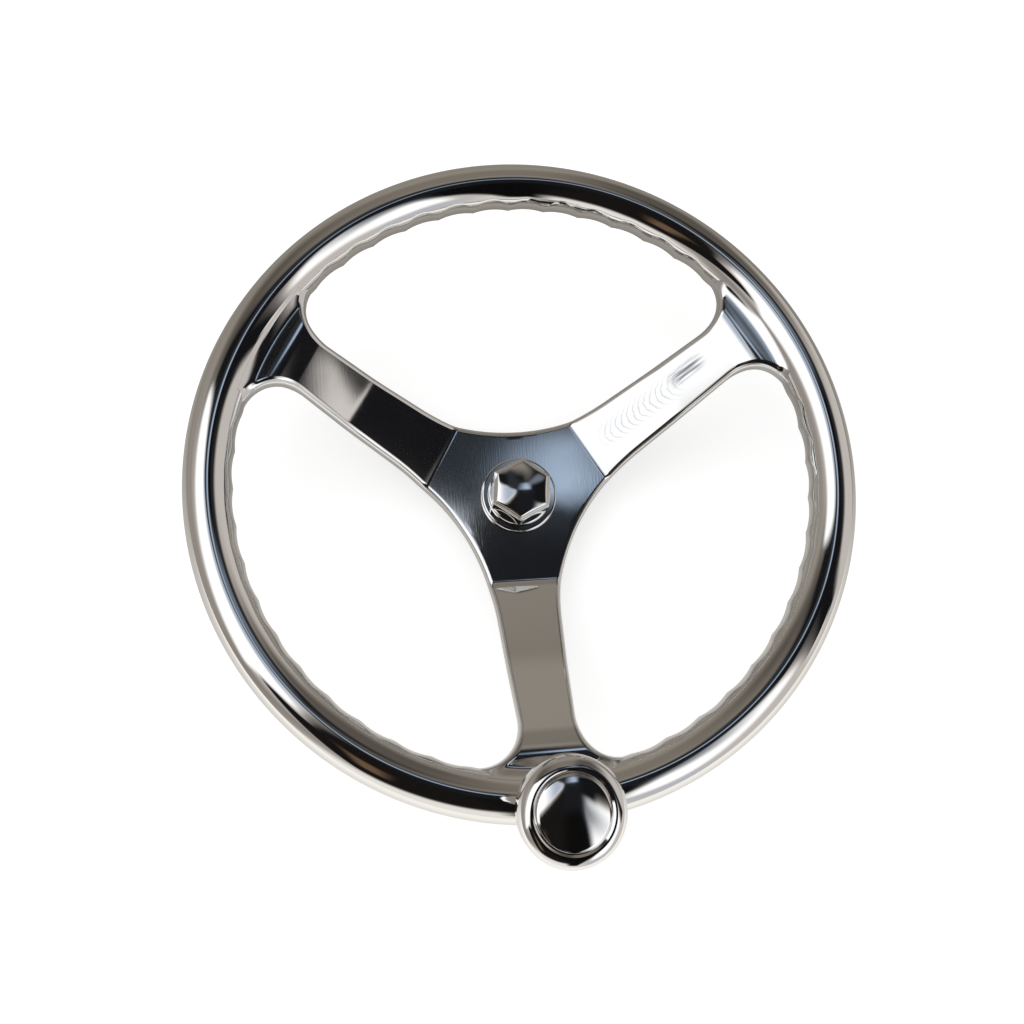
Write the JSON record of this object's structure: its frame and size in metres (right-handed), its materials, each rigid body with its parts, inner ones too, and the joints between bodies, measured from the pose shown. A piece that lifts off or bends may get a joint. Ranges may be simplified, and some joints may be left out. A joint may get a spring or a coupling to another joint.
{
  "type": "boat steering wheel",
  "caption": "Dished three-spoke boat steering wheel in polished stainless steel, with finger grips behind the rim, a closed hub nut and a ball-bearing spinner knob.",
  "frame": {"origin": "centre of the hub's rear face, on the axis of the helm shaft", "axes": "+Z along the shaft towards the helmsman, -Y from the hub towards the knob's spoke, +X to the right as the helmsman sees the wheel"},
  "size_m": [0.343, 0.3545, 0.1388],
  "materials": {
    "polished_rim": "mirror-polished stainless steel",
    "polished_spokes": "stainless steel, mirror-polished over a fine straight grain",
    "polished_fittings": "mirror-polished stainless steel",
    "polished_knob": "mirror-polished turned stainless steel",
    "turned_steel": "fine-turned stainless steel",
    "bearing_steel": "ground bearing steel",
    "cage_steel": "pressed sheet steel",
    "spring_steel": "spring steel, satin",
    "black_rubber": "smooth black rubber"
  },
  "bodies": {
    "wheel": {"rim": "polished_rim", "spoke_casting": "polished_spokes", "hub_washer": "polished_fittings", "hub_nut": "polished_fittings", "knob_weld_boss": "polished_fittings", "knob_base_collar": "polished_fittings", "knob_post": "turned_steel", "inner_spacer": "turned_steel", "post_washer": "turned_steel", "post_nut": "turned_steel", "lower_bearing_inner_ring": "bearing_steel", "upper_bearing_inner_ring": "bearing_steel"},
    "knob": {"knob_shell": "polished_knob", "knob_cap": "polished_knob", "cap_o_ring": "black_rubber", "knob_seal": "black_rubber", "spring_clip": "spring_steel", "outer_spacer": "turned_steel", "lower_bearing_outer_ring": "bearing_steel", "upper_bearing_outer_ring": "bearing_steel", "lower_bearing_shields": "cage_steel", "upper_bearing_shields": "cage_steel"},
    "lower_ball_set": {"lower_bearing_balls": "bearing_steel", "lower_bearing_cage": "cage_steel"},
    "upper_ball_set": {"upper_bearing_balls": "bearing_steel", "upper_bearing_cage": "cage_steel"}
  },
  "joints": [
    {"name": "knob_spin", "type": "hinge", "parent": "wheel", "child": "knob", "pos_m": [0, -0.1595, 0.121], "axis": [0, 0, 1], "continuous": true},
    {"name": "lower_balls_spin", "type": "hinge", "parent": "wheel", "child": "lower_ball_set", "pos_m": [0, -0.1595, 0.102], "axis": [0, 0, 1], "continuous": true},
    {"name": "upper_balls_spin", "type": "hinge", "parent": "wheel", "child": "upper_ball_set", "pos_m": [0, -0.1595, 0.121], "axis": [0, 0, 1], "continuous": true}
  ],
  "couplings": [
    {"joint": "lower_balls_spin", "follows": "knob_spin", "ratio": 0.6323},
    {"joint": "upper_balls_spin", "follows": "knob_spin", "ratio": 0.6323}
  ]
}
